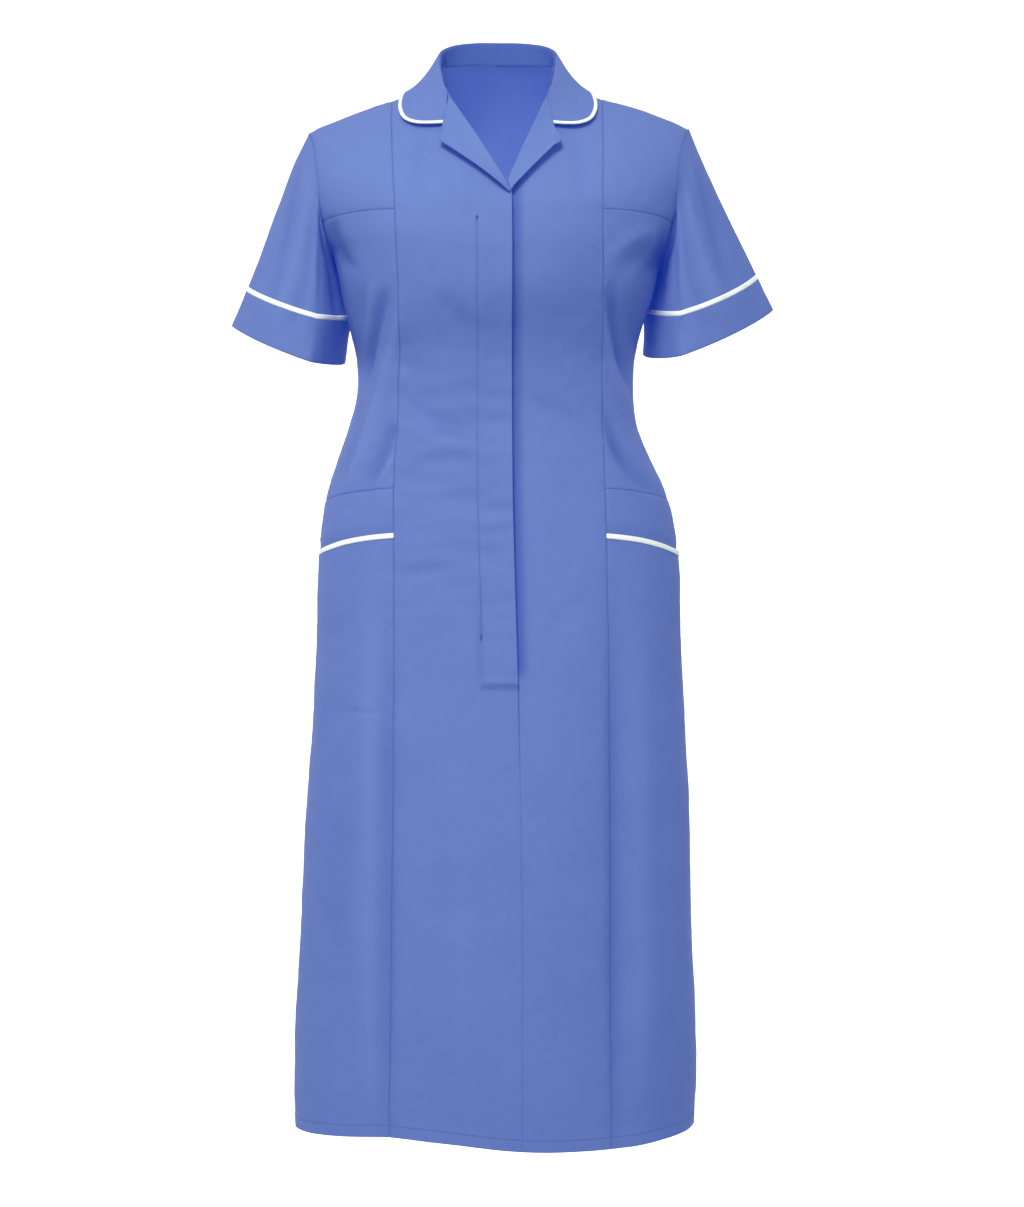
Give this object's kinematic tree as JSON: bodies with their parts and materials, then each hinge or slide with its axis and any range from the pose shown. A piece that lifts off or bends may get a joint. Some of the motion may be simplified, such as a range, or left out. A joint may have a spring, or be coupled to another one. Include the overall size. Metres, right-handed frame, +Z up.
{
  "type": "nurse uniform dress",
  "caption": "Knee-length blue uniform dress, filled out and hollow, with a piped round-ended collar, revers, a concealed front fly, hip pockets and short cuffed sleeves.",
  "frame": {"origin": "midway between the two shoulder points at the neck, where a hanger or a wearer carries the dress", "axes": "+Z up along the dress's length, the front faces -Y, and +X is to the viewer's right, the wearer's left"},
  "size_m": [0.5418, 0.287, 1.094],
  "materials": {
    "dress_cloth": "matt mid-blue plain-woven polyester and cotton",
    "white_piping": "matt white cotton piping"
  },
  "bodies": {
    "root": {"front_centre_right": "dress_cloth", "front_centre_left": "dress_cloth", "back": "dress_cloth", "front_shoulder_right": "dress_cloth", "front_side_right": "dress_cloth", "pocket_facing_right": "dress_cloth", "skirt_side_right": "dress_cloth", "sleeve_right": "dress_cloth", "cuff_right": "dress_cloth", "lapel_right": "dress_cloth", "front_shoulder_left": "dress_cloth", "front_side_left": "dress_cloth", "pocket_facing_left": "dress_cloth", "skirt_side_left": "dress_cloth", "sleeve_left": "dress_cloth", "cuff_left": "dress_cloth", "lapel_left": "dress_cloth", "collar": "dress_cloth", "collar_piping": "white_piping", "pocket_piping_right": "white_piping", "pocket_piping_left": "white_piping", "cuff_piping_right": "white_piping", "cuff_piping_left": "white_piping"}
  },
  "joints": []
}
